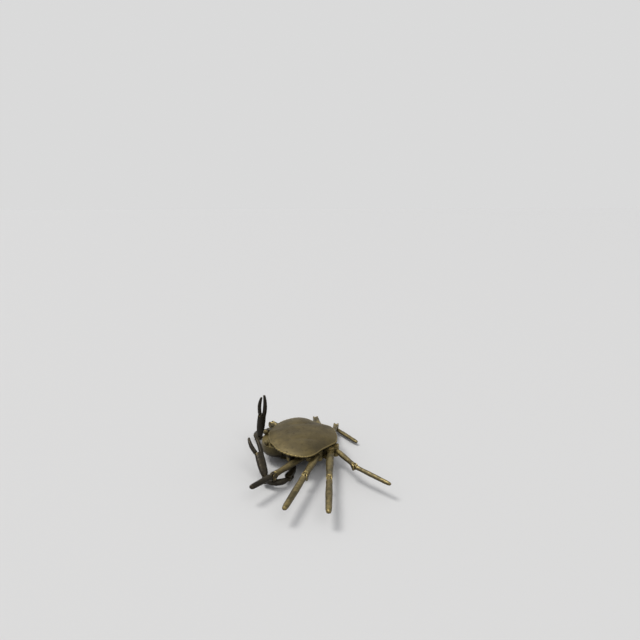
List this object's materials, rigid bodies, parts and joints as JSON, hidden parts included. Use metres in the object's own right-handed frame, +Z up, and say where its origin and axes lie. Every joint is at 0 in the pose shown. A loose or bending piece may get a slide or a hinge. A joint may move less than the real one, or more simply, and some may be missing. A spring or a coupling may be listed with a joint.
{
  "type": "crab figurine",
  "caption": "Cast brass crab ornament with a domed shell, riveted legs that swing and bend, and jointed arms with opening claws.",
  "frame": {"origin": "on the surface that the crab lies on, under the middle of its body", "axes": "+X to the crab's own left, -Y out of its face, +Z up through the shell"},
  "size_m": [0.1861, 0.1062, 0.0468],
  "materials": {
    "shell_brass": "dull aged patina",
    "body_brass": "olive patina",
    "leg_brass": "worn patina with bright ridges",
    "dark_brass": "dark brown patina",
    "pin_brass": "rubbed bright"
  },
  "bodies": {
    "body": {"belly": "body_brass", "body_screws": "pin_brass", "carapace": "shell_brass", "face": "body_brass", "hip_pins": "pin_brass", "hip_plate": "body_brass", "left_eye": "body_brass", "right_eye": "body_brass", "tail_flap": "body_brass"},
    "left_leg_1_thigh": {"left_leg_1_thigh": "leg_brass", "left_leg_1_knee_pin": "pin_brass"},
    "left_leg_1_shin": {"left_leg_1_shin": "dark_brass"},
    "left_leg_2_thigh": {"left_leg_2_thigh": "leg_brass", "left_leg_2_knee_pin": "pin_brass"},
    "left_leg_2_shin": {"left_leg_2_shin": "leg_brass"},
    "left_leg_3_thigh": {"left_leg_3_thigh": "leg_brass", "left_leg_3_knee_pin": "pin_brass"},
    "left_leg_3_shin": {"left_leg_3_shin": "leg_brass"},
    "left_leg_4_thigh": {"left_leg_4_thigh": "leg_brass", "left_leg_4_knee_pin": "pin_brass"},
    "left_leg_4_shin": {"left_leg_4_shin": "leg_brass"},
    "right_leg_1_thigh": {"right_leg_1_thigh": "leg_brass", "right_leg_1_knee_pin": "pin_brass"},
    "right_leg_1_shin": {"right_leg_1_shin": "leg_brass"},
    "right_leg_2_thigh": {"right_leg_2_thigh": "leg_brass", "right_leg_2_knee_pin": "pin_brass"},
    "right_leg_2_shin": {"right_leg_2_shin": "leg_brass"},
    "right_leg_3_thigh": {"right_leg_3_thigh": "leg_brass", "right_leg_3_knee_pin": "pin_brass"},
    "right_leg_3_shin": {"right_leg_3_shin": "leg_brass"},
    "right_leg_4_thigh": {"right_leg_4_thigh": "leg_brass", "right_leg_4_knee_pin": "pin_brass"},
    "right_leg_4_shin": {"right_leg_4_shin": "leg_brass"},
    "left_upper_arm": {"left_upper_arm": "dark_brass", "left_elbow_pin": "pin_brass"},
    "left_forearm": {"left_forearm": "dark_brass", "left_wrist_pin": "pin_brass"},
    "left_palm": {"left_palm": "dark_brass", "left_finger_pin": "pin_brass"},
    "left_finger": {"left_finger": "dark_brass"},
    "right_upper_arm": {"right_upper_arm": "dark_brass", "right_elbow_pin": "pin_brass"},
    "right_forearm": {"right_forearm": "dark_brass", "right_wrist_pin": "pin_brass"},
    "right_palm": {"right_palm": "dark_brass", "right_finger_pin": "pin_brass"},
    "right_finger": {"right_finger": "dark_brass"}
  },
  "joints": [
    {"name": "left_leg_1_hip", "type": "hinge", "parent": "body", "child": "left_leg_1_thigh", "pos_m": [0.0225, 0.0033, 0.012], "axis": [0, 0, 1], "range_deg": [-5, 5]},
    {"name": "left_leg_1_knee", "type": "hinge", "parent": "left_leg_1_thigh", "child": "left_leg_1_shin", "pos_m": [0.0579, -0.02747, 0.0098], "axis": [-0.6561, -0.7547, 0], "range_deg": [-8, 10]},
    {"name": "left_leg_2_hip", "type": "hinge", "parent": "body", "child": "left_leg_2_thigh", "pos_m": [0.023, 0.011, 0.012], "axis": [0, 0, 1], "range_deg": [-5, 5]},
    {"name": "left_leg_2_knee", "type": "hinge", "parent": "left_leg_2_thigh", "child": "left_leg_2_shin", "pos_m": [0.06034, -0.00333, 0.0098], "axis": [-0.3584, -0.9336, 0], "range_deg": [-174, 8]},
    {"name": "left_leg_3_hip", "type": "hinge", "parent": "body", "child": "left_leg_3_thigh", "pos_m": [0.0215, 0.0206, 0.012], "axis": [0, 0, 1], "range_deg": [-5, 5]},
    {"name": "left_leg_3_knee", "type": "hinge", "parent": "left_leg_3_thigh", "child": "left_leg_3_shin", "pos_m": [0.0678, 0.0145, 0.0098], "axis": [-0.1305, -0.9914, 0], "range_deg": [-174, 8]},
    {"name": "left_leg_4_hip", "type": "hinge", "parent": "body", "child": "left_leg_4_thigh", "pos_m": [0.016, 0.0255, 0.012], "axis": [0, 0, 1], "range_deg": [-5, 5]},
    {"name": "left_leg_4_knee", "type": "hinge", "parent": "left_leg_4_thigh", "child": "left_leg_4_shin", "pos_m": [0.04884, 0.037, 0.01024], "axis": [0.3305, -0.9438, 0], "range_deg": [-168, 8]},
    {"name": "right_leg_1_hip", "type": "hinge", "parent": "body", "child": "right_leg_1_thigh", "pos_m": [-0.0225, 0.0033, 0.012], "axis": [0, 0, -1], "range_deg": [-5, 5]},
    {"name": "right_leg_1_knee", "type": "hinge", "parent": "right_leg_1_thigh", "child": "right_leg_1_shin", "pos_m": [-0.05946, -0.02557, 0.0044], "axis": [-0.6157, 0.788, 0], "range_deg": [0, 180]},
    {"name": "right_leg_2_hip", "type": "hinge", "parent": "body", "child": "right_leg_2_thigh", "pos_m": [-0.023, 0.011, 0.012], "axis": [0, 0, -1], "range_deg": [-5, 5]},
    {"name": "right_leg_2_knee", "type": "hinge", "parent": "right_leg_2_thigh", "child": "right_leg_2_shin", "pos_m": [-0.06059, -0.00268, 0.0044], "axis": [-0.342, 0.9397, 0], "range_deg": [0, 180]},
    {"name": "right_leg_3_hip", "type": "hinge", "parent": "body", "child": "right_leg_3_thigh", "pos_m": [-0.0215, 0.0206, 0.012], "axis": [0, 0, -1], "range_deg": [-5, 5]},
    {"name": "right_leg_3_knee", "type": "hinge", "parent": "right_leg_3_thigh", "child": "right_leg_3_shin", "pos_m": [-0.06809, 0.01734, 0.0044], "axis": [-0.0698, 0.9976, 0], "range_deg": [0, 180]},
    {"name": "right_leg_4_hip", "type": "hinge", "parent": "body", "child": "right_leg_4_thigh", "pos_m": [-0.016, 0.0255, 0.012], "axis": [0, 0, -1], "range_deg": [-5, 5]},
    {"name": "right_leg_4_knee", "type": "hinge", "parent": "right_leg_4_thigh", "child": "right_leg_4_shin", "pos_m": [-0.04945, 0.03509, 0.00484], "axis": [0.2756, 0.9613, 0], "range_deg": [0, 180]},
    {"name": "left_shoulder", "type": "hinge", "parent": "body", "child": "left_upper_arm", "pos_m": [0.021, -0.012, 0.012], "axis": [0, 0, 1], "range_deg": [-4, 4]},
    {"name": "left_elbow", "type": "hinge", "parent": "left_upper_arm", "child": "left_forearm", "pos_m": [0.04879, -0.01541, 0.0051], "axis": [0, 0, 1], "range_deg": [-6, 6]},
    {"name": "left_wrist", "type": "hinge", "parent": "left_forearm", "child": "left_palm", "pos_m": [0.04925, -0.03291, 0.0051], "axis": [-0.245, 0.9695, 0], "range_deg": [-16, 25]},
    {"name": "left_finger_joint", "type": "hinge", "parent": "left_palm", "child": "left_finger", "pos_m": [0.03118, -0.03943, 0.01659], "axis": [0.4993, 0.1262, 0.8572], "range_deg": [-13, 6]},
    {"name": "right_shoulder", "type": "hinge", "parent": "body", "child": "right_upper_arm", "pos_m": [-0.021, -0.012, 0.012], "axis": [0, 0, -1], "range_deg": [-4, 4]},
    {"name": "right_elbow", "type": "hinge", "parent": "right_upper_arm", "child": "right_forearm", "pos_m": [-0.04408, -0.02786, 0.0051], "axis": [0, 0, -1], "range_deg": [-6, 6]},
    {"name": "right_wrist", "type": "hinge", "parent": "right_forearm", "child": "right_palm", "pos_m": [-0.02915, -0.037, 0.0051], "axis": [0.7171, -0.6969, 0], "range_deg": [-25, 6]},
    {"name": "right_finger_joint", "type": "hinge", "parent": "right_palm", "child": "right_finger", "pos_m": [-0.02692, -0.03667, 0.02737], "axis": [0.9946, 0.0267, -0.1001], "range_deg": [-2.5, 12]}
  ]
}
